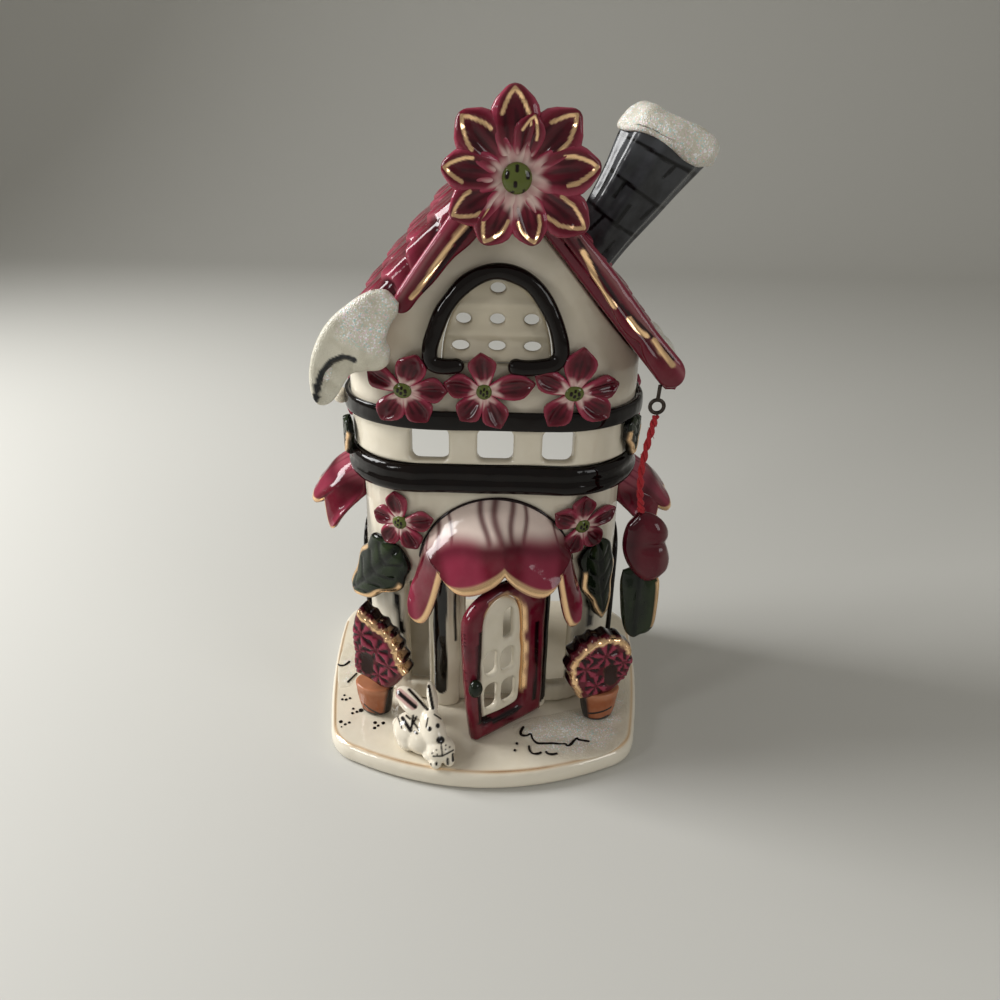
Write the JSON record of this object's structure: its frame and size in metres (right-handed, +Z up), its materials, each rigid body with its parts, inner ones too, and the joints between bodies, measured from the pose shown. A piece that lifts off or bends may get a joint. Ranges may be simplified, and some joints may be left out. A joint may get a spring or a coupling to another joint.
{
  "type": "house candle holder",
  "caption": "Glazed earthenware cottage with an open back that holds a tealight, with applied flowers, awnings, a chimney, a door ajar and a small charm hanging on yarn.",
  "frame": {"origin": "on the table, under the middle of the house's width, 20 mm behind its front wall", "axes": "+Z up, +Y from the front towards the open back, +X to the right of someone facing it"},
  "size_m": [0.1435, 0.1223, 0.2352],
  "materials": {
    "ivory_glaze": "glossy glazed earthenware, ivory, opaque",
    "crimson_glaze": "glossy glazed earthenware, crimson, opaque",
    "black_glaze": "glossy glazed earthenware, black-brown, opaque",
    "green_glaze": "glossy glazed earthenware, dark green, opaque",
    "olive_glaze": "glossy glazed earthenware, olive, opaque",
    "slate_glaze": "glossy glazed earthenware, slate grey, opaque",
    "terracotta_glaze": "glazed earthenware, terracotta, opaque",
    "snow_glaze": "glazed earthenware with fine white glitter, opaque",
    "wire": "dark bent wire",
    "yarn": "red wool yarn"
  },
  "bodies": {
    "house": {"base_plate": "ivory_glaze", "lower_walls": "ivory_glaze", "lower_band": "black_glaze", "gallery": "ivory_glaze", "upper_band": "black_glaze", "upper_storey": "ivory_glaze", "window_lattice": "ivory_glaze", "window_arch": "black_glaze", "roof_left": "crimson_glaze", "roof_right": "crimson_glaze", "bargeboard_left": "crimson_glaze", "bargeboard_right": "crimson_glaze", "peak_flower": "crimson_glaze", "peak_flower_centre": "olive_glaze", "chimney": "slate_glaze", "chimney_snow": "snow_glaze", "eave_snow_left": "snow_glaze", "eave_snow_right": "snow_glaze", "band_flower_left": "crimson_glaze", "band_flower_middle": "crimson_glaze", "band_flower_right": "crimson_glaze", "band_knob": "ivory_glaze", "door_flower_left": "crimson_glaze", "door_flower_right": "crimson_glaze", "side_flower_left": "crimson_glaze", "side_flower_right": "crimson_glaze", "door_leaf_left": "green_glaze", "door_leaf_right": "green_glaze", "corner_leaf_left": "green_glaze", "corner_leaf_right": "green_glaze", "door_awning": "crimson_glaze", "side_awning_left": "crimson_glaze", "side_awning_right": "crimson_glaze", "side_window_frame_left": "black_glaze", "side_window_frame_right": "black_glaze", "door_post_left": "ivory_glaze", "door_post_right": "ivory_glaze", "door_frame": "crimson_glaze", "door_lattice": "ivory_glaze", "door_knob": "green_glaze", "pot_left": "terracotta_glaze", "pot_right": "terracotta_glaze", "pot_bloom_left": "crimson_glaze", "pot_bloom_right": "crimson_glaze", "rabbit": "ivory_glaze", "charm_eye": "wire"},
    "yarn": {"yarn_loop": "yarn"},
    "charm": {"charm_bloom": "crimson_glaze", "charm_leaf": "green_glaze"}
  },
  "joints": [
    {"name": "yarn_swing", "type": "hinge", "parent": "house", "child": "yarn", "pos_m": [0.05512, -0.02891, 0.1403], "axis": [0, 1, 0], "range_deg": [-60, 2]},
    {"name": "charm_swing", "type": "hinge", "parent": "yarn", "child": "charm", "pos_m": [0.05362, -0.02891, 0.10085], "axis": [1, 0, 0], "range_deg": [-45, 3]}
  ]
}
